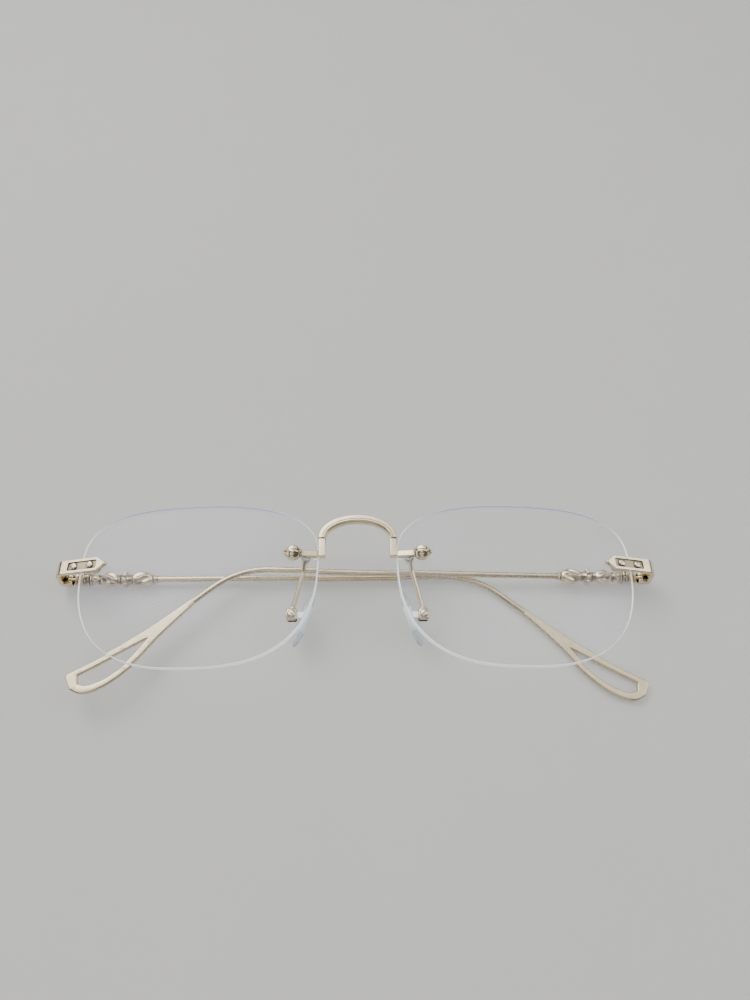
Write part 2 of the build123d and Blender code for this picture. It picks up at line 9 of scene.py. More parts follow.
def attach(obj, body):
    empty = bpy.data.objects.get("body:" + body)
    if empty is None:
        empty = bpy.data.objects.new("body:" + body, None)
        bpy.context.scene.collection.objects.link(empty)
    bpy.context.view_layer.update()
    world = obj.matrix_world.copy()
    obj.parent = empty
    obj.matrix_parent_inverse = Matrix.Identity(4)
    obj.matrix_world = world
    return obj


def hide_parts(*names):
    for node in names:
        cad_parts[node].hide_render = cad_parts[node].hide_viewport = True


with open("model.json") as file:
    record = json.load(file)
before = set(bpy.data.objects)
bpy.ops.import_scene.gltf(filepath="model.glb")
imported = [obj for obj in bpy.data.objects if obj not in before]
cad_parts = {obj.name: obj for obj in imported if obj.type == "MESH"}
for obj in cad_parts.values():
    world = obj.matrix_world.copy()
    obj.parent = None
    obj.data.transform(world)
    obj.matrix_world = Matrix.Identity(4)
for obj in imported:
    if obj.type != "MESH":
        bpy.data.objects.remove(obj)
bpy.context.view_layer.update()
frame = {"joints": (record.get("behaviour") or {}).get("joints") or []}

# Rimless eyeglasses, folded, lens fronts up. Shapes are drawn in millimetres about the middle of the
# front, for the +X side, and mirrored for -X. TO_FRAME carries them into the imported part's own frame.

MM = 0.001
SIDES = ("right", "left")

# ---- driving dimensions, in millimetres and degrees -------------------------------------------------
# LENS_WAIST is how far the lens's widest line is above its middle, FACE_FORM is how far it tilts back
# at the side, and the powers are those of the superellipse quarters of its outline.
LENS_WIDTH, LENS_HALF_HEIGHT, LENS_WAIST = 56.0, 19.7, 6.0
BRIDGE_GAP = 18.74
FRONT_RADIUS, BACK_RADIUS, LENS_THICKNESS = 130.0, 122.0, 1.7
FACE_FORM = 4.0
POWER_TOP_OUTER, POWER_TOP_INNER, POWER_BOTTOM = 3.1, 2.75, 2.55
HINGE = Vector((69.0, 4.15, -10.5))
NASAL_HOLE, TEMPLE_HOLE, LENS_HOLE_RADIUS = (-25.4, 6.5), (25.2, 5.35), 0.9
STUD_RADIUS = 0.6
PEG_RADIUS, PEG_LOW, PEG_HIGH = 0.48, -1.4, 0.4
NASAL_PEG_X, TEMPLE_PEG_X = -1.95, 1.75
WASHER_TOP, WASHER_THICKNESS = -1.93, 0.25
NUT_TOP = WASHER_TOP - WASHER_THICKNESS

joints = {joint["name"]: joint for joint in frame["joints"]}
hinge_at = Vector(joints["temple_right_fold"]["pos_m"])
TO_FRAME = Matrix.Translation(hinge_at - HINGE * MM) @ Matrix.Diagonal((MM, MM, MM, 1))
MIRROR = {"right": Matrix.Identity(4), "left": Matrix.Diagonal((-1, 1, 1, 1))}


# ---- places ------------------------------------------------------------------------------------------
def shift(x, y, z):
    return Matrix.Translation((x, y, z))


def turn(degrees, axis):
    return Matrix.Rotation(radians(degrees), 4, axis)


def plane(origin, x_axis, z_axis):
    """The matrix of a plane from its origin, its x direction and its normal."""
    z = Vector(z_axis).normalized()
    x = Vector(x_axis)
    x = (x - z * x.dot(z)).normalized()
    matrix = Matrix((x, z.cross(x), z)).transposed().to_4x4()
    matrix.translation = origin
    return matrix


LENS_PLACE = shift(BRIDGE_GAP / 2 + LENS_WIDTH / 2, 0, 0) @ turn(FACE_FORM, "Y")


def mount_plane(lens_x, lens_y):
    """The plane that touches the lens front at a point given in the lens's own frame."""
    height = sqrt(FRONT_RADIUS**2 - lens_x**2 - lens_y**2)
    origin = (lens_x, lens_y, height - FRONT_RADIUS)
    return LENS_PLACE @ plane(origin, (height, 0, -lens_x), (lens_x, lens_y, height))


# The fasteners' own frames: x runs outwards along the lens, z out of its front.
NASAL = mount_plane(*NASAL_HOLE)
TEMPLE = mount_plane(*TEMPLE_HOLE)


# ---- mesh building -----------------------------------------------------------------------------------
def to_mesh(bm):
    bmesh.ops.recalc_face_normals(bm, faces=bm.faces[:])
    mesh = bpy.data.meshes.new("shape")
    bm.to_mesh(mesh)
    bm.free()
    return mesh


def skin(rings):
    """A closed skin through rings of points, capped at both ends."""
    bm = bmesh.new()
    rows = [[bm.verts.new(point) for point in ring] for ring in rings]
    bm.faces.new(rows[0])
    bm.faces.new(rows[-1])
    count = len(rings[0])
    for first, second in zip(rows, rows[1:]):
        for i in range(count):
            j = (i + 1) % count
            bm.faces.new((first[i], second[i], second[j], first[j]))
    return to_mesh(bm)


def moved(mesh, matrix):
    mesh.transform(matrix)
    return mesh


def merged(parts, cuts=(), share=False):
    """One closed mesh: every part joined, less every cut, or with share only what the parts share."""
    work = []
    for mesh in [*parts, *cuts]:
        item = bpy.data.objects.new("work", mesh)
        bpy.context.scene.collection.objects.link(item)
        work.append(item)
    base = work[0]
    for index, tool in enumerate(work[1:], start=1):
        step = base.modifiers.new("step", "BOOLEAN")
        joined = "INTERSECT" if share else "UNION"
        step.operation = joined if index < len(parts) else "DIFFERENCE"
        step.object = tool
        step.solver = "MANIFOLD"
    graph = bpy.context.evaluated_depsgraph_get()
    result = bpy.data.meshes.new_from_object(base.evaluated_get(graph))
    for item in work:
        bpy.data.objects.remove(item)
    return result


def lathe(profile, steps=64, shape=None):
    """Turns (x, radius) pairs about X; shape(x, angle) scales the radius there."""
    rings = []
    for x, radius in profile:
        ring = []
        for i in range(steps):
            angle = 2 * pi * i / steps
            r = radius * (shape(x, angle) if shape else 1)
            ring.append((x, r * cos(angle), r * sin(angle)))
        rings.append(ring)
    return skin(rings)


def upright(mesh):
    """Turns a shape made along X to stand along Z."""
    return moved(mesh, turn(-90, "Y"))


def pin(radius, low, high, edge=0.06, steps=48):
    """A round pin along Z from low to high with softly broken ends."""
    corner = 0.3 * edge
    profile = [
        (low, radius - edge), (low + corner, radius - corner), (low + edge, radius),
        (high - edge, radius), (high - corner, radius - corner), (high, radius - edge)]
    return upright(lathe(profile, steps))


def peg_mesh(place, x):
    """An anti-rotation peg at x on a mount plane."""
    return moved(moved(pin(PEG_RADIUS, PEG_LOW, PEG_HIGH), shift(x, 0, 0)), place)


def rounded(width, height, radius, steps=4):
    """A rectangle outline with round corners, centred."""
    points = []
    for quarter, (sx, sy) in enumerate(((1, 1), (-1, 1), (-1, -1), (1, -1))):
        for k in range(steps + 1):
            angle = radians(90 * (quarter + k / steps))
            x = sx * (width / 2 - radius) + radius * cos(angle)
            y = sy * (height / 2 - radius) + radius * sin(angle)
            points.append((x, y))
    return points


def block(size, edge, steps=3):
    """A box with rounded edges, centred."""
    bm = bmesh.new()
    bmesh.ops.create_cube(bm, size=1)
    bmesh.ops.scale(bm, vec=size, verts=bm.verts)
    bmesh.ops.bevel(bm, geom=bm.edges[:], offset=edge, segments=steps, profile=0.5, affect="EDGES")
    return to_mesh(bm)


def ball(radius, place):
    bm = bmesh.new()
    bmesh.ops.create_uvsphere(bm, u_segments=40, v_segments=24, radius=radius)
    return moved(to_mesh(bm), shift(*place))


def sweep(points, section, across, size=None):
    """Carries a section along points, its second axis along across; size(i) scales its two axes."""
    last = len(points) - 1
    rings = []
    for i, point in enumerate(points):
        along = (points[min(i + 1, last)] - points[max(i - 1, 0)]).normalized()
        second = (across - along * across.dot(along)).normalized()
        first = second.cross(along)
        a, b = size(i) if size else (1, 1)
        rings.append([point + first * (u * a) + second * (v * b) for u, v in section])
    return skin(rings)


def filleted(corners, radius, steps=12):
    """The points of a path of straight runs joined by arcs of one radius."""
    path = [corners[0]]
    for before, corner, after in zip(corners, corners[1:], corners[2:]):
        back, ahead = (before - corner).normalized(), (after - corner).normalized()
        half = back.angle(ahead) / 2
        centre = corner + (back + ahead).normalized() * (radius / sin(half))
        start = corner + back * (radius / tan(half)) - centre
        end = corner + ahead * (radius / tan(half)) - centre
        path += [centre + slerp(start, end, k / steps) for k in range(steps + 1)]
    return [*path, corners[-1]]


def slerp(start, end, share):
    """The vector at a share of the turn from start to end, which are equally long."""
    angle = start.angle(end)
    return (start * sin((1 - share) * angle) + end * sin(share * angle)) / sin(angle)


def smooth_line(points, steps=10):
    """Points along a Catmull-Rom curve through a few given ones."""
    points = [Vector((x, y, 0)) for x, y in points]
    ends = [points[0] * 2 - points[1], *points, points[-1] * 2 - points[-2]]
    line = []
    for a, b, c, d in zip(ends, ends[1:], ends[2:], ends[3:]):
        for k in range(steps):
            t = k / steps
            line.append(0.5 * (2 * b + (c - a) * t + (2 * a - 5 * b + 4 * c - d) * t * t
                               + (3 * b - a - 3 * c + d) * t**3))
    return [*line, points[-1]]


def inset(loop, depth):
    """A counter-clockwise loop moved inwards by depth at every point."""
    moved_loop = []
    count = len(loop)
    for i, point in enumerate(loop):
        before = (point - loop[i - 1]).normalized()
        after = (loop[(i + 1) % count] - point).normalized()
        normal = Vector((-before.y - after.y, before.x + after.x, 0)).normalized()
        lean = max(0.5, normal.dot(Vector((-after.y, after.x, 0))))
        moved_loop.append(point + normal * (depth / lean))
    return moved_loop


def plate(outer, hole, thickness, edge, steps=4):
    """A flat plate with an outline, a hole and round edges, about Z = 0."""
    bm = bmesh.new()
    flat_edges = {1: [], -1: []}
    for loop, sign in ((outer, 1), (hole, -1)):
        rows = []
        for side in (-1, 1):
            angles = [90 * k / steps for k in range(steps + 1)]
            for angle in (reversed(angles) if side < 0 else angles):
                depth = edge * (1 - cos(radians(angle)))
                z = side * (thickness / 2 - edge + edge * sin(radians(angle)))
                rows.append([bm.verts.new((p.x, p.y, z)) for p in inset(loop, sign * depth)])
        for first, second in zip(rows, rows[1:]):
            for i in range(len(loop)):
                j = (i + 1) % len(loop)
                bm.faces.new((first[i], first[j], second[j], second[i]))
        for side, row in ((-1, rows[0]), (1, rows[-1])):
            for i in range(len(loop)):
                flat_edges[side].append(bm.edges.get((row[i], row[(i + 1) % len(loop)])))
    for side in (-1, 1):
        bmesh.ops.triangle_fill(bm, use_beauty=True, edges=flat_edges[side], normal=(0, 0, side))
    return to_mesh(bm)


def add_piece(name, mesh, side, body, materials, nodes, crease=32):
    """Puts a finished mesh in the frame, on its body, in place of the CAD nodes."""
    mesh.transform(TO_FRAME @ MIRROR[side])
    if side == "left":
        mesh.flip_normals()
    piece = bpy.data.objects.new(name, mesh)
    bpy.context.scene.collection.objects.link(piece)
    mesh.materials.clear()
    for material in materials:
        mesh.materials.append(material)
    mesh.shade_smooth()
    mesh.set_sharp_from_angle(angle=radians(crease))
    normals = piece.modifiers.new("normals", "WEIGHTED_NORMAL")
    normals.keep_sharp = True
    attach(piece, body)
    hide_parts(*nodes)
    return piece


# ---- materials ---------------------------------------------------------------------------------------
class Nodes:
    """A material's node tree with short calls for the nodes used here."""

    def __init__(self, name):
        self.material = bpy.data.materials.new(name)
        self.material.use_nodes = True
        self.tree = self.material.node_tree
        self.shader = self.tree.nodes["Principled BSDF"]
        self.output = self.tree.nodes["Material Output"]
        self.place = self.tree.nodes.new("ShaderNodeTexCoord")

    def add(self, kind, **settings):
        node = self.tree.nodes.new(kind)
        for key, value in settings.items():
            setattr(node, key, value)
        return node

    def link(self, source, target):
        self.tree.links.new(source, target)

    def noise(self, size, detail=3.0, roughness=0.5, stretch=(1, 1, 1)):
        """Noise whose features are about size millimetres across."""
        scaling = self.add("ShaderNodeMapping")
        scaling.inputs["Scale"].default_value = Vector(stretch) / (size * MM)
        texture = self.add("ShaderNodeTexNoise")
        texture.inputs["Scale"].default_value = 1.0
        texture.inputs["Detail"].default_value = detail
        texture.inputs["Roughness"].default_value = roughness
        self.link(self.place.outputs["Object"], scaling.inputs["Vector"])
        self.link(scaling.outputs["Vector"], texture.inputs["Vector"])
        return texture.outputs["Fac"]

    def span(self, source, low, high, out_low, out_high):
        """Maps low..high of a value to out_low..out_high."""
        node = self.add("ShaderNodeMapRange")
        limits = {"From Min": low, "From Max": high, "To Min": out_low, "To Max": out_high}
        for key, value in limits.items():
            node.inputs[key].default_value = value
        self.link(source, node.inputs["Value"])
        return node.outputs["Result"]

    def mix(self, share, first, second):
        """A colour between two; each is a colour or a socket."""
        node = self.add("ShaderNodeMix", data_type="RGBA")
        self.link(share, node.inputs["Factor"])
        for socket, value in ((node.inputs[6], first), (node.inputs[7], second)):
            if isinstance(value, tuple):
                socket.default_value = (*value, 1)
            else:
                self.link(value, socket)
        return node.outputs[2]

    def bump(self, height, distance, strength=1.0, under=None):
        node = self.add("ShaderNodeBump")
        node.inputs["Distance"].default_value = distance * MM
        node.inputs["Strength"].default_value = strength
        self.link(height, node.inputs["Height"])
        if under is not None:
            self.link(under, node.inputs["Normal"])
        return node.outputs["Normal"]

    def set(self, **values):
        for key, value in values.items():
            self.shader.inputs[key.replace("_", " ")].default_value = value

    def open_to_lamps(self, colour):
        """Lets lamps through, so that clear pieces don't cast a solid shadow."""
        path = self.add("ShaderNodeLightPath")
        clear = self.add("ShaderNodeBsdfTransparent")
        clear.inputs["Color"].default_value = (*colour, 1)
        choose = self.add("ShaderNodeMixShader")
        self.link(path.outputs["Is Shadow Ray"], choose.inputs["Fac"])
        self.link(self.shader.outputs["BSDF"], choose.inputs[1])
        self.link(clear.outputs["BSDF"], choose.inputs[2])
        self.link(choose.outputs["Shader"], self.output.inputs["Surface"])


EVEN_GRAIN, DRAWN_GRAIN = (1, 1, 1), (0.3, 1, 1)


def silver(name, light, tarnish_and_shade, smoothest, roughest, grain):
    """Warm silver with fine grain and faint marks. Unless tarnish_and_shade is None, faces in recesses,
    between parts and near the floor go to that colour: partly tarnish in the hollows, partly painted shade.
    """
    m = Nodes(name)
    cloud = m.noise(2.6, 4.0)
    dull = tuple(0.90 * c for c in light)
    tone = m.mix(m.span(cloud, 0.35, 0.65, 0.0, 1.0), dull, light)
    if tarnish_and_shade:
        # Painted shade, partly tarnish: ambient occlusion darkens the base colour in recesses, between parts
        # and near the floor.
        crevice = m.add("ShaderNodeAmbientOcclusion", samples=16)
        crevice.inputs["Distance"].default_value = 1.2 * MM
        open_share = m.span(crevice.outputs["AO"], 0.36, 0.90, 0.0, 1.0)
        tone = m.mix(open_share, tarnish_and_shade, tone)
    m.link(tone, m.shader.inputs["Base Color"])
    marks = m.noise(1.8, 2.0, 0.4)
    m.link(m.span(marks, 0.3, 0.75, smoothest, roughest), m.shader.inputs["Roughness"])
    fine = m.noise(0.07, 3.0, 0.6, grain)
    soft = m.bump(m.noise(2.2, 1.0), 0.003)
    m.link(m.bump(fine, 0.0001, 0.2, soft), m.shader.inputs["Normal"])
    m.set(Metallic=1.0)
    return m.material


LENS_IOR = 1.53
# Heights in the lens where the rim's painted blue-violet reflection begins and where it is full.
PAINTED_VIOLET_FROM, PAINTED_VIOLET_FULL = 12.0, 19.0


def clear_lens():
    """Polished lens with a faint blue-violet coating and a light film of handling."""
    m = Nodes("lens_glass")
    film = m.noise(9.0, 5.0, 0.6)
    m.link(m.mix(film, (0.972, 0.978, 0.99), (0.99, 0.992, 1.0)), m.shader.inputs["Base Color"])
    m.link(m.span(m.noise(4.0, 6.0, 0.7), 0.45, 0.8, 0.0, 0.002), m.shader.inputs["Roughness"])
    m.set(IOR=LENS_IOR, Transmission_Weight=1.0, Specular_Tint=(0.11, 0.10, 0.20, 1))
    m.open_to_lamps((0.975, 0.98, 0.985))
    return m.material


def lens_rim():
    """The ground and polished rim: its own white below and at the sides, a painted blue-violet reflection of
    the coating along the top, and a painted glow.
    """
    m = Nodes("lens_rim")
    split = m.add("ShaderNodeSeparateXYZ")
    m.link(m.place.outputs["Object"], split.inputs["Vector"])
    low, high = [(TO_FRAME @ Vector((0, y, 0))).y for y in (PAINTED_VIOLET_FROM, PAINTED_VIOLET_FULL)]
    # Painted reflection: the rim turns blue-violet towards the top of the lens, in place of the coating's
    # reflection.
    violet_reflection_share = m.span(split.outputs["Y"], low, high, 0.0, 1.0)
    tone = m.mix(violet_reflection_share, (0.96, 0.97, 1.0), (0.42, 0.42, 0.62))
    shade = m.span(m.noise(1.4, 4.0), 0.3, 0.7, 0.0, 0.12)
    m.link(m.mix(shade, tone, (0.75, 0.78, 0.86)), m.shader.inputs["Base Color"])
    m.link(m.span(m.noise(0.15, 3.0), 0.3, 0.7, 0.10, 0.30), m.shader.inputs["Roughness"])
    m.link(m.bump(m.noise(0.25, 2.0), 0.004), m.shader.inputs["Normal"])
    # Painted glow: the rim emits light, white below and blue-violet at the top, as if light gathered in the
    # lens left through its rim.
    painted_glow = m.mix(violet_reflection_share, (0.92, 0.95, 1.0), (0.30, 0.30, 0.50))
    m.link(painted_glow, m.shader.inputs["Emission Color"])
    m.set(IOR=LENS_IOR, Transmission_Weight=0.12, Emission_Strength=0.42)
    m.set(Coat_Weight=0.6, Coat_Roughness=0.06)
    m.open_to_lamps((0.75, 0.76, 0.80))
    return m.material


def clear_plastic(name, low, high, roughness, ior, through, shadow):
    """Clear or milky plastic with faint clouds and a soft moulded skin; shadow tints what lamps pass."""
    m = Nodes(name)
    m.link(m.mix(m.noise(1.6, 4.0), low, high), m.shader.inputs["Base Color"])
    skin_noise = m.noise(0.6, 4.0)
    rough = m.span(skin_noise, 0.3, 0.7, roughness * 0.6, roughness * 1.5)
    m.link(rough, m.shader.inputs["Roughness"])
    m.link(m.bump(m.noise(0.8, 3.0), 0.01), m.shader.inputs["Normal"])
    m.set(IOR=ior, Transmission_Weight=through, Coat_Weight=0.4, Coat_Roughness=0.08)
    m.open_to_lamps(shadow)
    return m.material


WARM_SILVER = (0.87, 0.75, 0.53)
# The third colour of a silver is the painted shade, partly tarnish, that its recesses and the sides near the
# floor go to.
SILVER = silver("polished_silver", WARM_SILVER, (0.055, 0.045, 0.034), 0.12, 0.25, EVEN_GRAIN)
SATIN = silver("satin_silver", (0.80, 0.69, 0.48), None, 0.24, 0.31, DRAWN_GRAIN)
WIRE = silver("wire_silver", WARM_SILVER, None, 0.14, 0.22, EVEN_GRAIN)
ANTIQUE = silver("antique_recess", (0.50, 0.42, 0.28), (0.05, 0.04, 0.03), 0.30, 0.46, EVEN_GRAIN)
STEEL = silver("screw_steel", (0.92, 0.83, 0.66), (0.07, 0.055, 0.04), 0.08, 0.18, EVEN_GRAIN)
GLASS = clear_lens()
RIM = lens_rim()
SILICONE = clear_plastic(
    "pad_silicone", (0.64, 0.69, 0.73), (0.80, 0.84, 0.87), 0.07, 1.42, 0.80, (0.70, 0.74, 0.77))
MILKY = clear_plastic(
    "pad_insert", (0.96, 0.98, 0.98), (0.99, 1.0, 1.0), 0.30, 1.48, 0.0, (0.4, 0.43, 0.43))
NYLON = clear_plastic(
    "clear_nylon", (0.84, 0.86, 0.85), (0.95, 0.96, 0.95), 0.20, 1.5, 0.7, (0.7, 0.72, 0.72))


# ---- lenses ------------------------------------------------------------------------------------------
RIM_CHAMFER = 0.14
RIM_STEPS, FACE_STEPS = 320, 16
NOTCH_RADIUS = PEG_RADIUS + 0.04
# Faces within HOLE_REACH of a fastener are hole walls. A face is on the edge of the lens when the
# cosine between its normal and the lens's axis is under RIM_SLOPE.
HOLE_REACH, RIM_SLOPE = 1.5, 0.82


def outline_reach(angle):
    """Distance from the waist point to the lens edge in a direction: four superellipse quarters."""
    c, s = cos(angle), sin(angle)
    height = LENS_HALF_HEIGHT - LENS_WAIST if s > 0 else LENS_HALF_HEIGHT + LENS_WAIST
    power = (POWER_TOP_OUTER if c > 0 else POWER_TOP_INNER) if s > 0 else POWER_BOTTOM
    return (abs(c * 2 / LENS_WIDTH) ** power + abs(s / height) ** power) ** (-1 / power)


def lens_mesh():
    """A meniscus: both faces on their spheres, and a rim with a fine safety chamfer."""
    angles = [2 * pi * i / RIM_STEPS for i in range(RIM_STEPS)]
    reaches = [outline_reach(a) for a in angles]
    edge = [Vector((r * cos(a), LENS_WAIST + r * sin(a), 0)) for r, a in zip(reaches, angles)]
    inner = inset(edge, RIM_CHAMFER)
    middle = Vector((0, LENS_WAIST, 0))

    def front(p):
        return Vector((p.x, p.y, sqrt(FRONT_RADIUS**2 - p.x**2 - p.y**2) - FRONT_RADIUS))

    def back(p):
        sag = sqrt(BACK_RADIUS**2 - p.x**2 - p.y**2) - BACK_RADIUS
        return Vector((p.x, p.y, sag - LENS_THICKNESS))

    shares = [0.02] + [k / FACE_STEPS for k in range(1, FACE_STEPS + 1)]
    rings = [[front(middle.lerp(p, share)) for p in inner] for share in shares]
    drop = Vector((0, 0, RIM_CHAMFER))
    rings.append([front(p) - drop for p in edge])
    rings.append([back(p) + drop for p in edge])
    rings += [[back(middle.lerp(p, share)) for p in inner] for share in reversed(shares)]
    return moved(skin(rings), LENS_PLACE)


def lens_cuts():
    """The two drilled holes and the two open notches in the rim."""
    cuts = []
    for place, peg_x, outwards in ((NASAL, NASAL_PEG_X, -1), (TEMPLE, TEMPLE_PEG_X, 1)):
        cuts.append(moved(pin(LENS_HOLE_RADIUS, -4, 3, steps=40), place))
        notch_path = [Vector((peg_x + outwards * x, 0, 0)) for x in (0, 1.5, 3)]
        notch = sweep(notch_path, rounded(6, 2 * NOTCH_RADIUS, 0.02, 1), Vector((0, 1, 0)))
        cuts.append(moved(notch, place))
        cuts.append(moved(moved(pin(NOTCH_RADIUS, -3, 3, steps=32), shift(peg_x, 0, 0)), place))
    return cuts


def make_lens(side):
    """A lens whose outer edge has the rim's look, and whose faces and hole walls are clear glass."""
    mesh = merged([lens_mesh()], lens_cuts())
    name = f"lens_{side}"
    add_piece(f"{name}_clear", mesh, side, "front", [GLASS, RIM], [name], crease=24)
    to_lens = (TO_FRAME @ MIRROR[side] @ LENS_PLACE).to_3x3().normalized().inverted()
    to_side = (TO_FRAME @ MIRROR[side]).inverted()
    for face in mesh.polygons:
        middle = to_side @ face.center
        in_hole = min((middle - place.translation).length for place in (NASAL, TEMPLE)) < HOLE_REACH
        on_edge = abs((to_lens @ face.normal).z) < RIM_SLOPE
        face.material_index = 1 if on_edge and not in_hole else 0


# ---- bridge ------------------------------------------------------------------------------------------
LEG_X, LEG_Z, LEG_SIZE = 8.3, -0.5, 1.7
SHOULDER_Y, ARCH_RISE, ARCH_HEIGHT, ARCH_DEPTH = 10.5, 5.0, 1.7, 2.0
ARCH_STEPS = 96
COLLAR_SIZE = LEG_SIZE - 0.3
FOOT_HEIGHT, FOOT_DEPTH, FOOT_OUTER = 1.5, 1.15, 1.35
BALL_RADIUS, BALL_FLUTES, BALL_STEPS = 1.85, 7, 14


def arch_section():
    """A bar, +x towards the inside of the arch: a lip low on the inside and a fine line on the front."""
    w, h = ARCH_HEIGHT / 2, ARCH_DEPTH / 2
    lip_height, lip_depth = 0.05, 0.26
    line_x, line_half, line_depth = 0.12, 0.07, 0.09
    outline = rounded(ARCH_HEIGHT, ARCH_DEPTH, 0.22, 4)
    inside = [
        (w, lip_height - 0.12), (w - 0.06, lip_height), (w - lip_depth, lip_height + 0.06),
        (w - lip_depth, h - 0.12), (w - lip_depth - 0.10, h)]
    line = [(line_x + line_half, h), (line_x, h - line_depth), (line_x - line_half, h)]
    return [*line, *outline[5:], *inside]


def bridge_mesh():
    """The arch, and on each side a leg, a collar under the arch, a foot bar, a stud and a peg."""
    arch = []
    for k in range(ARCH_STEPS + 1):
        angle = pi * k / ARCH_STEPS
        arch.append(Vector((LEG_X * cos(angle), SHOULDER_Y + ARCH_RISE * sin(angle), LEG_Z)))
    straight_end = Vector((0, 0.01, 0))
    arch.insert(0, arch[0] - straight_end)
    arch.append(arch[-1] - straight_end)
    # The section's first axis points into the arch, because the path runs from +X to -X.
    parts = [sweep(arch, arch_section(), Vector((0, 0, 1)))]
    to_nasal = NASAL.inverted()
    foot_inner = (to_nasal @ Vector((LEG_X, 0, 0))).x - LEG_SIZE / 2
    foot_top = NASAL.translation.y + FOOT_HEIGHT / 2
    leg_low = foot_top - FOOT_HEIGHT
    leg_top = SHOULDER_Y - 0.30
    foot_length = FOOT_OUTER + 0.35 - foot_inner
    for side in SIDES:
        leg = block((LEG_SIZE, leg_top - leg_low, LEG_SIZE), 0.24)
        leg = moved(leg, shift(LEG_X, (leg_top + leg_low) / 2, LEG_Z))
        collar = block((COLLAR_SIZE, 1.0, COLLAR_SIZE), 0.12)
        collar = moved(collar, shift(LEG_X, SHOULDER_Y - 0.2, LEG_Z))
        bar = block((foot_length, FOOT_HEIGHT, FOOT_DEPTH), 0.20)
        bar = moved(moved(bar, shift(foot_inner + foot_length / 2, 0, FOOT_DEPTH / 2)), NASAL)
        stud = moved(pin(STUD_RADIUS, -4.0, 0.4), NASAL)
        for part in (leg, collar, bar, stud, peg_mesh(NASAL, NASAL_PEG_X)):
            if side == "left":
                part.transform(MIRROR[side])
                part.flip_normals()
            parts.append(part)
    return merged(parts)


def finial_mesh():
    """A turned finial: a fillet, a fluted ball and a pointed bead, cut flat where it meets the lens."""
    start, centre = FOOT_OUTER, FOOT_OUTER + BALL_RADIUS
    fillet = [(0, 0.85), (0.04, 0.98), (0.14, 1.06), (0.26, 0.98), (0.34, 0.94)]
    bead = [(3.22, 1.16), (3.32, 1.14), (3.62, 0.78), (3.90, 0.48), (4.12, 0.30), (4.26, 0.22), (4.34, 0.08)]
    profile = [(start + x, radius) for x, radius in fillet]
    for k in range(BALL_STEPS + 1):
        angle = radians(142 - 92 * k / BALL_STEPS)
        profile.append((centre + BALL_RADIUS * cos(angle), BALL_RADIUS * sin(angle)))
    profile += [(start + x, radius) for x, radius in bead]

    def flutes(x, angle):
        on_ball = max(0.0, 1 - ((x - centre) / (0.86 * BALL_RADIUS)) ** 2)
        return 1 - 0.13 * on_ball * (0.5 - 0.5 * cos(BALL_FLUTES * angle)) ** 0.8

    turned = moved(lathe(profile, 96, flutes), shift(0, 0, 1.0))
    lens_gap, depth = 0.03, 10
    under = moved(block((20, 10, depth), 0.1), shift(0, 0, lens_gap - depth / 2))
    return moved(merged([turned], [under]), NASAL)


# ---- nose pads ---------------------------------------------------------------------------------------
BOX_AT, BOX_SIZE = Vector((15.25, -6.4, -6.4)), (2.6, 2.8, 2.4)
BOX_PLACE = Matrix.Translation(BOX_AT)
PAD_AT = Vector((12.6, -6.6, -8.3))
PAD_LENGTH, PAD_WIDTH, PAD_THICKNESS = 13.6, 6.6, 1.9
PAD_SPREAD, PAD_SPLAY = radians(17), radians(18)
ARM_RADIUS = 0.52
EYELET_THICKNESS = 0.7

pad_along = Vector((sin(PAD_SPREAD), -cos(PAD_SPREAD), 0))
pad_normal = Vector((
    -cos(PAD_SPREAD) * cos(PAD_SPLAY), -sin(PAD_SPREAD) * cos(PAD_SPLAY), -sin(PAD_SPLAY)))
PAD = plane(PAD_AT, pad_along, pad_normal)


def pillow(length, width, thickness, fullness, narrowing=0.0):
    """A flat-sided oval pillow. With a narrowing over 0 its -X end is the narrower one."""
    rings = []
    steps, layers = 96, 14
    levels = [sin(pi / 2 * (k + 0.5) / layers) for k in range(layers)] + [1.0]
    for side in (1, -1):
        order = levels if side > 0 else reversed(levels[:-1])
        for share in order:
            height = side * thickness / 2 * (1 - share**fullness) ** 0.5
            ring = []
            for i in range(steps):
                angle = 2 * pi * i / steps
                x = length / 2 * cos(angle) * share
                y = width / 2 * sin(angle) * share * (1 + narrowing * cos(angle))
                ring.append((x, y, height))
            rings.append(ring)
    return skin(rings)


def pad_arm_mesh():
    """The eyelet on the stud, the bent wire and the solder bead on the pad box."""
    start = NASAL @ Vector((0.3, -0.8, NUT_TOP - EYELET_THICKNESS / 2))
    elbow = Vector((12.75, 3.6, -4.3))
    end = BOX_AT + Vector((-0.2, BOX_SIZE[1] / 2 - 0.1, 0.3))
    path = filleted([start, elbow, end], 3.0)
    section = rounded(2 * ARM_RADIUS, 2 * ARM_RADIUS, ARM_RADIUS - 0.01, 8)
    wire = sweep(path, section, Vector((1, 0, 0)))
    eyelet = pin(1.1, NUT_TOP - EYELET_THICKNESS, NUT_TOP, 0.12)
    solder = ball(0.72, end + Vector((0.02, 0.12, 0)))
    stud_hole = pin(STUD_RADIUS + 0.02, -6, 1)
    nut_room = pin(1.03, -6, NUT_TOP - EYELET_THICKNESS, 0.01)
    box_room = block(BOX_SIZE, 0.1)
    cuts = [moved(stud_hole, NASAL), moved(nut_room, NASAL), moved(box_room, BOX_PLACE)]
    return merged([wire, moved(eyelet, NASAL), solder], cuts)


def pad_box_mesh():
    """Two cheeks and an outer wall round the pad's lug."""
    slot = moved(block((2.6, 2.8, 1.0), 0.04, 1), shift(-0.5, -0.4, 0))
    hole = pin(0.46, -3, 3)
    rim = pin(1.16, 0.9, 1.36, 0.12)
    well = pin(0.98, 1.12, 2.0, 0.02)
    box = merged([block(BOX_SIZE, 0.55, 5), rim], [slot, hole, well])
    return moved(box, BOX_PLACE)


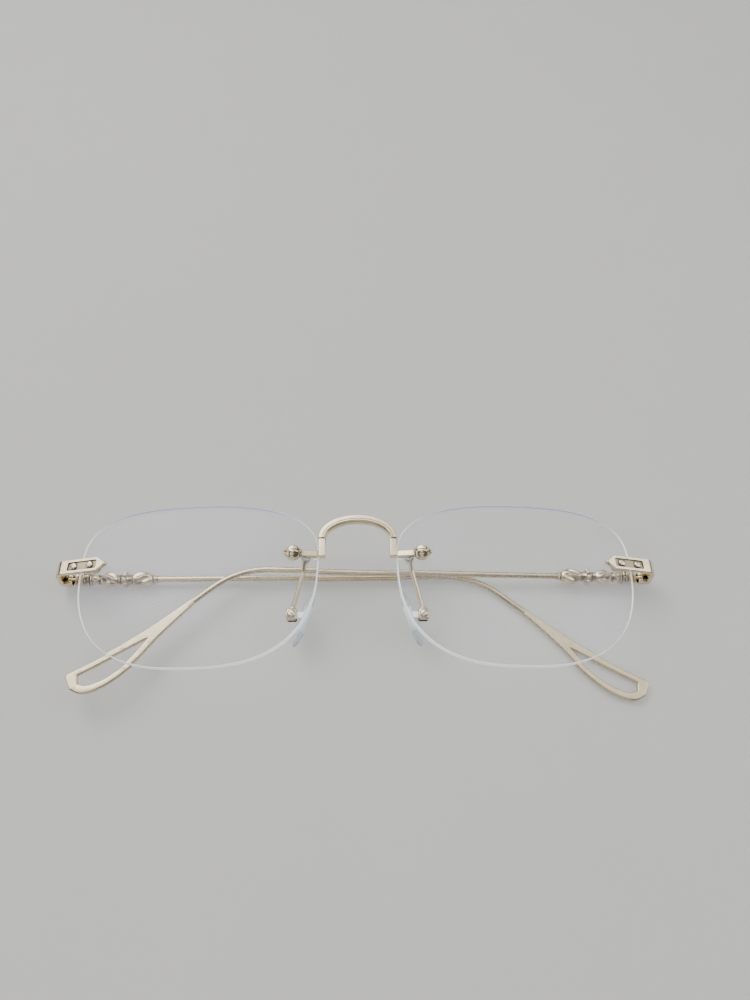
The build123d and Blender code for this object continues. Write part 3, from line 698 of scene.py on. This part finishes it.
def screw_head(radius, seat, height, slot_width, slot_depth, turned_by):
    """A domed head with a straight driver slot, standing along Z on its seat."""
    wall, steps = 0.12, 8
    profile = [(seat, radius * 0.9), (seat + 0.05, radius), (seat + wall, radius)]
    for k in range(1, steps + 1):
        angle = k / steps * pi / 2
        rise = seat + wall + (height - wall) * sin(angle)
        profile.append((rise, max(0.03, radius * cos(angle) ** 0.6)))
    slot = moved(block((3, slot_width, 2 * slot_depth), 0.02, 1), turn(turned_by, "Z"))
    slot = moved(slot, shift(0, 0, seat + height))
    return merged([upright(lathe(profile))], [slot])


def pad_screw_mesh():
    head = screw_head(0.92, 1.12, 0.50, 0.2, 0.2, 35)
    return moved(merged([pin(0.45, -1.2, 1.25), head]), BOX_PLACE)


def pad_core_mesh():
    """The hard insert inside the pad and the lug that the pad screw goes through."""
    disc = moved(pillow(6.4, 3.4, 0.8, 10), PAD)
    reach = BOX_AT.x - 12.0
    lug = moved(block((reach, 1.5, 0.84), 0.16), shift(-reach / 2, 0, 0))
    eye = merged([pin(0.75, -0.42, 0.42), lug], [pin(0.5, -2, 2)])
    return merged([disc, moved(eye, BOX_PLACE)])


def nose_pad_mesh():
    return moved(pillow(PAD_LENGTH, PAD_WIDTH, PAD_THICKNESS, 5, narrowing=-0.06), PAD)


# ---- end pieces --------------------------------------------------------------------------------------
PLATE_HEIGHT, PLATE_DEPTH = 3.5, 1.1
PLATE_POINT, PLATE_SHOULDER = -3.7, -1.9
WALL_X, WALL_BOTTOM = 70.65, -11.0
WALL_TAPER_TOP, WALL_FOOT_SHARE = -7.4, 0.72
RECESS_LENGTH, RECESS_HEIGHT, RECESS_DEPTH, RECESS_X = 7.6, 2.2, 0.3, 1.9
RECESS_FLOOR = PLATE_DEPTH - RECESS_DEPTH
TRIM_X, TRIM_RADIUS, TRIM_LOW = 4.2, 0.5, 0.25
KNUCKLE_RADIUS, KNUCKLE_IN, KNUCKLE_OUT = 0.95, 0.42, 1.15
TONGUE_HALF = 0.37
HINGE_PLACE = Matrix.Translation(HINGE)


def lying(mesh):
    """Turns a shape made along Z to lie along Y."""
    return moved(mesh, turn(-90, "X"))


def end_piece_mesh():
    """A pointed plate that turns down at its outer end and carries two hinge knuckles."""
    half = PLATE_DEPTH / 2
    start = TEMPLE @ Vector((PLATE_SHOULDER, 0, half))
    point = TEMPLE @ Vector((PLATE_POINT, 0, half))
    along = (TEMPLE.to_3x3() @ Vector((1, 0, 0))).normalized()
    across = (TEMPLE.to_3x3() @ Vector((0, 1, 0))).normalized()
    corner = start + along * ((WALL_X - start.x) / along.x)
    foot = Vector((WALL_X, HINGE.y, WALL_BOTTOM))
    path = [point, *filleted([start, corner, foot], 1.7)]
    turned = path.pop(-2)
    path = [*path[:-1], *(turned.lerp(foot, k / 8) for k in range(9))]
    bevel, back_edge = 0.30, 0.1
    w, d = PLATE_HEIGHT / 2, half
    # First axis: through the plate, + is its outer face. Second axis: across its height.
    upper = [(d, w - bevel), (d - 0.08, w - 0.07), (d - bevel, w), (-d + back_edge, w), (-d, w - back_edge)]
    section = [*upper, *((u, -v) for u, v in reversed(upper))]

    def size(i):
        if i == 0:
            return 1, 0.13
        share = max(0.0, (WALL_TAPER_TOP - path[i].z) / (WALL_TAPER_TOP - WALL_BOTTOM))
        return 1, 1 - (1 - WALL_FOOT_SHARE) * share

    strap = sweep(path, section, across, size)
    tip = moved(ball(0.58, (PLATE_POINT + 0.05, 0, half)), TEMPLE)
    parts = [strap, tip, peg_mesh(TEMPLE, TEMPLE_PEG_X)]
    reach = WALL_X - HINGE.x
    tall = KNUCKLE_OUT - KNUCKLE_IN
    for sign in (1, -1):
        y = sign * (KNUCKLE_IN + KNUCKLE_OUT) / 2
        knuckle = moved(lying(pin(KNUCKLE_RADIUS, -tall / 2, tall / 2, 0.08)), shift(0, y, 0))
        web = moved(block((reach, tall, 1.6), 0.06, 2), shift(reach / 2 + 0.1, y, 0))
        parts += [moved(knuckle, HINGE_PLACE), moved(web, HINGE_PLACE)]
    pocket = sweep(
        [Vector((0, 0, z)) for z in (RECESS_FLOOR, PLATE_DEPTH + 0.5)],
        rounded(RECESS_LENGTH, RECESS_HEIGHT, 0.45, 6), Vector((0, 1, 0)))
    trim_hole = pin(TRIM_RADIUS, TRIM_LOW, 3, 0.01)
    cuts = [
        moved(lying(pin(0.55, -3, 3, 0.01)), HINGE_PLACE),
        moved(moved(pocket, shift(RECESS_X, 0, 0)), TEMPLE),
        moved(pin(STUD_RADIUS, -3, 3, 0.01), TEMPLE),
        moved(moved(trim_hole, shift(TRIM_X, 0, 0)), TEMPLE)]
    return merged(parts, cuts)


def age_recess(piece, side):
    """Gives the floor of the plate's recess the darker, aged finish."""
    piece.data.materials.append(ANTIQUE)
    to_plate = (TO_FRAME @ MIRROR[side] @ TEMPLE).inverted()
    for face in piece.data.polygons:
        height = (to_plate @ face.center).z
        if abs(height - RECESS_FLOOR) < 0.02:
            face.material_index = 1


def plate_screw_mesh(x, shank_radius, bottom, turned_by):
    head = screw_head(0.92, RECESS_FLOOR, 0.56, 0.18, 0.14, turned_by)
    shank = pin(shank_radius - 0.005, bottom, RECESS_FLOOR + 0.1)
    return moved(moved(merged([shank, head]), shift(x, 0, 0)), TEMPLE)


def hinge_screw_mesh():
    head = screw_head(0.88, KNUCKLE_OUT, 0.38, 0.2, 0.16, 20)
    shank = pin(0.545, -KNUCKLE_OUT, KNUCKLE_OUT + 0.1)
    return moved(lying(merged([shank, head])), HINGE_PLACE)


def nut_mesh(place, top):
    """A small hexagonal nut with a rounded crown."""
    sides = [(cos(radians(60 * k)), sin(radians(60 * k))) for k in range(6)]
    hexagon = sweep([Vector((0, 0, z)) for z in (top - 1.0, top)], sides, Vector((0, 1, 0)))
    crown = pin(0.98, top - 1.2, top + 0.2, 0.22)
    body = merged([hexagon, crown], share=True)
    return moved(merged([body], [pin(STUD_RADIUS, top - 3, top + 1, 0.01)]), place)


# ---- temples -----------------------------------------------------------------------------------------
BLOCK_END = 3.9
CORE_RADIUS = 0.6
BAR_RADIUS, BAR_START, BAR_LENGTH = 0.70, 20.9, 90.0
EAR_RADIUS, EAR_LEAN = 20.0, 1.0
BEND_STEPS, RUN_STEPS, BAR_SIDES = 32, 14, 40
TIP_THICKNESS = 1.2
OLIVE_FLUTES, OLIVE_DEPTH = 6, 0.24
# The folded temples aren't quite alike: degrees of dip, rise and ear bend, and the shift of the tip.
SETTINGS = {
    "left": {"dip": -0.79, "rise": 0.72, "bend": 39.1, "tip_start": 0.0},
    "right": {"dip": 1.2, "rise": 1.15, "bend": 41.0, "tip_start": -2.6}}
TIP_UPPER = [(8.0, 0.62), (21.0, 1.0), (31.5, 2.1), (39.8, 3.6)]
TIP_LOWER = [
    (40.5, 0.2), (39.2, -2.1), (36.3, -3.5), (32.0, -4.15), (26.0, -3.75), (18.5, -2.1), (8.0, -0.62)]
HOLE_UPPER = [(20.9, -0.95), (29.2, 0.35), (37.6, 1.8)]
HOLE_LOWER = [(38.5, 0.1), (37.3, -1.3), (35.2, -2.2), (32.0, -2.75), (27.0, -2.5), (20.9, -0.95)]


def loop_outline(upper, lower, corner_radius):
    """A counter-clockwise outline of a lower and an upper edge with a blunt, round-cornered end."""
    top, under = smooth_line(upper), smooth_line(lower)
    corner = top[-1]
    towards, away = (top[-4] - corner).normalized(), (under[0] - corner).normalized()
    half = towards.angle(away) / 2
    centre = corner + (towards + away).normalized() * (corner_radius / sin(half))
    reach = corner_radius / tan(half)
    first, last = corner + towards * reach - centre, corner + away * reach - centre
    arc = [centre + slerp(first, last, k / 8) for k in range(9)]
    top = [point for point in top if (point - corner).length > reach + 0.05]
    outline = top + arc + under
    if (outline[0] - outline[-1]).length < 0.01:
        outline.pop()
    outline.reverse()
    return outline


def wire_mesh(setting):
    """The temple's wire: threaded core, round bar, ear bend, and the flat loop tip it widens into."""
    bend = radians(setting["bend"])

    def on_bend(angle):
        return Vector((EAR_RADIUS * sin(angle), -EAR_RADIUS * (1 - cos(angle)), 0))

    lean = shift(BAR_LENGTH, 0, 0) @ turn(EAR_LEAN, "X")
    after = lean @ shift(*on_bend(bend)) @ turn(-setting["bend"], "Z")
    path = [Vector((x, 0, 0)) for x in (BAR_START, 21.05, 21.2, 40, 60, 75, 88)]
    path += [lean @ on_bend(bend * k / BEND_STEPS) for k in range(BEND_STEPS + 1)]
    tip_start = setting["tip_start"]
    flat_from, flat_to = 4.0 + tip_start, 15.0 + tip_start
    run_start = flat_from * 0.5
    run = [run_start + (flat_to - run_start) * k / RUN_STEPS for k in range(RUN_STEPS + 1)]
    path += [after @ Vector((x, 0, 0)) for x in run]
    first_flat = len(path) - len(run)
    broken_end = [(0.86, 0.86), (0.96, 0.96)]

    def size(i):
        if i < len(broken_end):
            return broken_end[i]
        if i < first_flat:
            return 1, 1
        share = min(1.0, max(0.0, (run[i - first_flat] - flat_from) / (flat_to - flat_from)))
        ease = share * share * (3 - 2 * share)
        return 1 + 0.02 * ease, 1 - 0.26 * ease

    angles = [2 * pi * k / BAR_SIDES for k in range(BAR_SIDES)]
    circle = [(BAR_RADIUS * cos(a), BAR_RADIUS * sin(a)) for a in angles]
    bar = sweep(path, circle, Vector((0, 0, 1)), size)
    core_radius = CORE_RADIUS - 0.01
    core = lathe([(2.6, core_radius), (21.5, core_radius)], 40)
    outer = loop_outline(TIP_UPPER, TIP_LOWER, 0.9)
    hole = loop_outline(HOLE_UPPER, HOLE_LOWER, 0.4)
    tip = moved(plate(outer, hole, TIP_THICKNESS, 0.30), after @ shift(tip_start, 0, 0))
    return merged([bar, tip, core])


def fluted(twist, span):
    """A shape for lathe: twisted flutes that fade out at both ends of a span."""
    start, end = span

    def scale(x, angle):
        t = min(1.0, max(0.0, (x - start) / (end - start)))
        wave = (0.5 - 0.5 * cos(OLIVE_FLUTES * (angle + radians(twist) * t))) ** 0.7
        return 1 - OLIVE_DEPTH * sin(pi * t) * wave
    return scale


def barrel(span, ends, middle, power, steps=28):
    """A profile that swells from its end radii to a middle radius."""
    start, end = span
    profile = []
    for k in range(steps + 1):
        t = k / steps
        base = ends[0] + (ends[1] - ends[0]) * t
        profile.append((start + (end - start) * t, base + (middle - base) * sin(pi * t) ** power))
    return profile


def ring_mesh():
    """Three fine ridges, the middle one the widest."""
    profile = [
        (3.95, 1.20), (4.02, 1.42), (4.20, 1.55), (4.40, 1.50), (4.50, 1.38), (4.60, 1.62), (4.75, 1.80),
        (4.95, 1.85), (5.12, 1.76), (5.22, 1.50), (5.32, 1.36), (5.42, 1.48), (5.55, 1.52), (5.70, 1.42),
        (5.80, 1.20)]
    return bored(lathe(profile), (3.0, 7.0))


def neck_mesh():
    """A waist between two small beads."""
    profile = [
        (5.80, 1.10), (5.88, 1.26), (6.00, 1.30), (6.12, 1.24), (6.22, 1.08), (6.50, 1.00), (6.75, 1.02),
        (6.95, 1.12), (7.06, 1.26), (7.20, 1.31), (7.34, 1.22), (7.40, 1.05)]
    return bored(lathe(profile), (5.0, 8.0))


def rear_olive_mesh():
    """A twisted, fluted olive between two equal fillets."""
    swell = (7.72, 11.68)
    profile = [
        (7.4, 0.95), (7.46, 1.10), (7.56, 1.16), (7.66, 1.10), *barrel(swell, (1.0, 1.0), 1.76, 0.7),
        (11.74, 1.10), (11.84, 1.16), (11.94, 1.10), (12.0, 0.95)]
    return bored(lathe(profile, 96, fluted(55, swell)), (7.4, 12.0))


def collar_mesh():
    """A disc between two rings, with a circle of small beads round it."""
    start, end = 12.0, 14.8
    middle = (start + end) / 2
    half = [(0, 1.0), (0.06, 1.16), (0.2, 1.24), (0.34, 1.16), (0.42, 1.02), (0.9, 1.30)]
    profile = [(start + x, radius) for x, radius in half]
    profile.append((middle, 1.40))
    profile += [(end - x, radius) for x, radius in reversed(half)]
    parts = [lathe(profile)]
    beads, bead_radius, circle_radius = 8, 0.60, 1.42
    for i in range(beads):
        angle = 2 * pi * (i + 0.5) / beads
        place = (middle, circle_radius * cos(angle), circle_radius * sin(angle))
        parts.append(ball(bead_radius, place))
    return bored(merged(parts), (start, end))


def front_olive_mesh():
    """A longer olive, twisted the other way, with a turned foot towards the bar."""
    swell = (15.16, 19.95)
    profile = [
        (14.8, 0.95), (14.86, 1.12), (14.98, 1.20), (15.10, 1.12), *barrel(swell, (1.05, 0.95), 1.86, 0.62),
        (20.02, 0.86), (20.10, 0.98), (20.24, 1.06), (20.40, 1.04), (20.52, 0.92), (20.60, 0.84),
        (20.72, 0.88), (20.84, 0.86), (BAR_START, 0.76)]
    return bored(lathe(profile, 96, fluted(-65, swell)), (14.8, BAR_START))


def bored(mesh, span):
    """A bead with the hole that the wire's core runs through."""
    start, end = span
    hole = lathe([(start - 1, CORE_RADIUS), (end + 1, CORE_RADIUS)], 40)
    return merged([mesh], [hole])


def hinge_block_mesh():
    """The temple's knuckle and the square block that takes the wire."""
    tongue = lying(pin(KNUCKLE_RADIUS, -TONGUE_HALF, TONGUE_HALF, 0.06))
    neck = moved(block((1.7, 2 * TONGUE_HALF, 1.6), 0.06, 2), shift(0.85, 0, 0))
    body = moved(block((2.5, 2.7, 2.4), 0.30, 4), shift(2.65, 0, 0))
    collar = lathe([(3.5, 1.05), (3.6, 1.18), (3.86, 1.18), (BLOCK_END, 1.1)])
    grooves = []
    for x in (2.1, 2.75):
        for z in (1.2, -1.2):
            grooves.append(moved(block((0.16, 4, 0.24), 0.03, 1), shift(x, 0, z)))
    screw_hole = lying(pin(0.6, -3, 3, 0.01))
    core_hole = lathe([(2.6, CORE_RADIUS), (5, CORE_RADIUS)], 40)
    return merged([tongue, neck, body, collar], [screw_hole, core_hole, *grooves])


def add_temple(side):
    """One temple's folded pieces. The wire and its beads leave the hinge block at a slight angle."""
    setting = SETTINGS[side]
    folded = HINGE_PLACE @ turn(180 + setting["dip"], "Y")
    set_up = folded @ shift(BLOCK_END, 0, 0) @ turn(setting["rise"], "Z") @ shift(-BLOCK_END, 0, 0)
    body = f"temple_{side}"
    shapes = {
        "hinge_block": (hinge_block_mesh(), folded, SILVER),
        "temple_wire": (wire_mesh(setting), set_up, SATIN),
        "temple_ring": (ring_mesh(), set_up, SILVER),
        "temple_neck": (neck_mesh(), set_up, SILVER),
        "temple_rear_olive": (rear_olive_mesh(), set_up, SILVER),
        "temple_collar": (collar_mesh(), set_up, SILVER),
        "temple_front_olive": (front_olive_mesh(), set_up, SILVER)}
    for name, (mesh, place, material) in shapes.items():
        node = f"{name}_{side}"
        add_piece(f"{node}_fine", moved(mesh, place), side, body, [material], [node])


# ---- the whole object --------------------------------------------------------------------------------
def add_front(side):
    """One side's pieces of the front, and its nose pad."""
    singles = {
        "bridge_finial": (finial_mesh(), "frame_metal", SILVER),
        "pad_arm": (pad_arm_mesh(), "frame_metal", WIRE),
        "pad_box": (pad_box_mesh(), "frame_metal", SILVER),
        "pad_screw": (pad_screw_mesh(), "screw_metal", STEEL),
        "end_piece": (end_piece_mesh(), "frame_metal", SILVER),
        "hinge_screw": (hinge_screw_mesh(), "screw_metal", STEEL)}
    for name, (mesh, slot, material) in singles.items():
        node = f"{name}_{side}"
        piece = add_piece(f"{node}_fine", mesh, side, "front", [material], [node])
        if name == "end_piece":
            age_recess(piece, side)
    hardware = {
        "bridge_nuts": nut_mesh(NASAL, NUT_TOP - EYELET_THICKNESS),
        "end_piece_nuts": nut_mesh(TEMPLE, NUT_TOP),
        "end_piece_screws": plate_screw_mesh(0, STUD_RADIUS, NUT_TOP - 1.1, turned_by=10),
        "end_piece_trim_screws": plate_screw_mesh(TRIM_X, TRIM_RADIUS, TRIM_LOW, turned_by=-35)}
    for node, mesh in hardware.items():
        add_piece(f"{node}_{side}", mesh, side, "front", [STEEL], [node])
    for place, owner in ((NASAL, "bridge"), (TEMPLE, "end_piece")):
        sleeves = {"bushes": pin(0.89, -1.9, -0.03, 0.05), "washers": pin(1.05, NUT_TOP, WASHER_TOP, 0.05)}
        for kind, sleeve in sleeves.items():
            node = f"{owner}_{kind}"
            mesh = moved(merged([sleeve], [pin(STUD_RADIUS + 0.005, -4, 2, 0.01)]), place)
            add_piece(f"{node}_{side}", mesh, side, "front", [NYLON], [node])
    pad = add_piece(
        f"nose_pad_{side}_soft", nose_pad_mesh(), side, f"pad_{side}", [SILICONE],
        [f"nose_pad_{side}"])
    add_piece(
        f"pad_core_{side}_fine", pad_core_mesh(), side, f"pad_{side}", [MILKY],
        [f"pad_core_{side}"])


add_piece("bridge_fine", bridge_mesh(), "right", "front", [SILVER], ["bridge"])
for side in SIDES:
    make_lens(side)
    add_front(side)
    add_temple(side)


# ---- floor, light and camera -------------------------------------------------------------------------
def floor_plane(name, height, size, cover):
    """A plain pale sheet. With a cover under 1 it is lightly see-through, as frosted acrylic is."""
    half = size / 2
    corners = ((-half, -half), (half, -half), (half, half), (-half, half))
    bm = bmesh.new()
    bm.faces.new([bm.verts.new((x, y, height)) for x, y in corners])
    sheet = bpy.data.objects.new(name, to_mesh(bm))
    bpy.context.scene.collection.objects.link(sheet)
    m = Nodes(name)
    tone = m.mix(m.noise(60.0, 2.0), (0.46, 0.46, 0.45), (0.48, 0.48, 0.47))
    m.link(tone, m.shader.inputs["Base Color"])
    m.set(Roughness=0.75)
    if cover < 1:
        clear = m.add("ShaderNodeBsdfTransparent")
        path = m.add("ShaderNodeLightPath")
        share = m.span(path.outputs["Is Shadow Ray"], 0.0, 1.0, cover, 0.0)
        blend = m.add("ShaderNodeMixShader")
        m.link(share, blend.inputs["Fac"])
        m.link(clear.outputs["BSDF"], blend.inputs[1])
        m.link(m.shader.outputs["BSDF"], blend.inputs[2])
        m.link(blend.outputs["Shader"], m.output.inputs["Surface"])
    sheet.data.materials.append(m.material)


floor_plane("floor_top", height=-0.00002, size=12.0, cover=0.52)
floor_plane("floor_deep", height=-0.30, size=24.0, cover=1.0)


def area_light(name, place, size, power, colour):
    """A soft lamp that shines at the object and doesn't show in reflections or through glass."""
    data = bpy.data.lights.new(name, "AREA")
    data.shape = "RECTANGLE"
    data.size, data.size_y = size
    data.energy = power
    data.color = colour
    lamp = bpy.data.objects.new(name, data)
    lamp.location = place
    lamp.visible_glossy = False
    lamp.visible_transmission = False
    lamp.rotation_euler = (-place).to_track_quat("-Z", "Y").to_euler()
    bpy.context.scene.collection.objects.link(lamp)


KEY = Vector((-0.45, 0.62, 0.66))
SIDE = Vector((0.80, 0.15, 0.55))
FILL = Vector((-0.15, -0.70, 0.62))
area_light("key", KEY, (0.50, 0.40), 6.5, (1.0, 0.98, 0.95))
area_light("side", SIDE, (0.40, 0.40), 2.2, (0.97, 0.98, 1.0))
area_light("fill", FILL, (0.50, 0.30), 2.4, (1.0, 1.0, 1.0))

# The room's own lamps: direction, the cosines where each is full and where it has faded out, brightness.
OVERHEAD = Vector((0.05, 0.50, 0.86))
LOW_SIDE = Vector((-1, -0.2, 0.25))
ROOM_LAMPS = [
    (OVERHEAD, 0.995, 0.55, 1.15),
    (KEY, 0.97, 0.80, 2.6),
    (SIDE, 0.985, 0.88, 2.0),
    (FILL, 0.985, 0.90, 0.9),
    (LOW_SIDE, 0.99, 0.93, 1.4)]
ROOM_BRIGHTNESS, BACKDROP_BRIGHTNESS = 0.11, 0.42


def studio_world():
    """A dim room with feathered soft lamps; the camera itself sees an even backdrop instead."""
    world = bpy.data.worlds.new("studio")
    world.use_nodes = True
    tree = world.node_tree
    backdrop = tree.nodes["Background"]
    place = tree.nodes.new("ShaderNodeTexCoord")

    def feathered(direction, inner, outer, brightness):
        """Brightness that falls off smoothly between two cosines from a direction."""
        towards = tree.nodes.new("ShaderNodeVectorMath")
        towards.operation = "DOT_PRODUCT"
        towards.inputs[1].default_value = direction.normalized()
        tree.links.new(place.outputs["Generated"], towards.inputs[0])
        span = tree.nodes.new("ShaderNodeMapRange")
        span.interpolation_type = "SMOOTHERSTEP"
        for key, value in (("From Min", outer), ("From Max", inner), ("To Max", brightness)):
            span.inputs[key].default_value = value
        tree.links.new(towards.outputs["Value"], span.inputs["Value"])
        return span.outputs["Result"]

    total, *others = [feathered(*lamp) for lamp in ROOM_LAMPS]
    for part in others:
        plus = tree.nodes.new("ShaderNodeMath")
        tree.links.new(total, plus.inputs[0])
        tree.links.new(part, plus.inputs[1])
        total = plus.outputs["Value"]
    lift = tree.nodes.new("ShaderNodeMath")
    lift.inputs[1].default_value = ROOM_BRIGHTNESS
    tree.links.new(total, lift.inputs[0])
    path = tree.nodes.new("ShaderNodeLightPath")
    seen = tree.nodes.new("ShaderNodeMapRange")
    seen.inputs["To Max"].default_value = BACKDROP_BRIGHTNESS
    tree.links.new(path.outputs["Is Camera Ray"], seen.inputs["Value"])
    tree.links.new(lift.outputs["Value"], seen.inputs["To Min"])
    tree.links.new(seen.outputs["Result"], backdrop.inputs["Strength"])
    backdrop.inputs["Color"].default_value = (1.0, 0.995, 0.98, 1)
    bpy.context.scene.world = world


studio_world()

CAMERA_AT = Vector((0.234, -64.36, 159.61))
CAMERA_TILT, CAMERA_YAW, CAMERA_ROLL = 28.0, -1.247, -0.086
FOCAL_LENGTH, SENSOR_WIDTH = 27.07, 36.0
camera_data = bpy.data.cameras.new("camera")
camera_data.lens = FOCAL_LENGTH
camera_data.sensor_width = SENSOR_WIDTH
camera_data.clip_start, camera_data.clip_end = 0.01, 40.0
camera = bpy.data.objects.new("camera", camera_data)
aim = turn(CAMERA_TILT, "X") @ turn(CAMERA_YAW, "Y") @ turn(CAMERA_ROLL, "Z")
camera.matrix_world = Matrix.Translation(TO_FRAME @ CAMERA_AT) @ aim
bpy.context.scene.collection.objects.link(camera)
bpy.context.scene.camera = camera
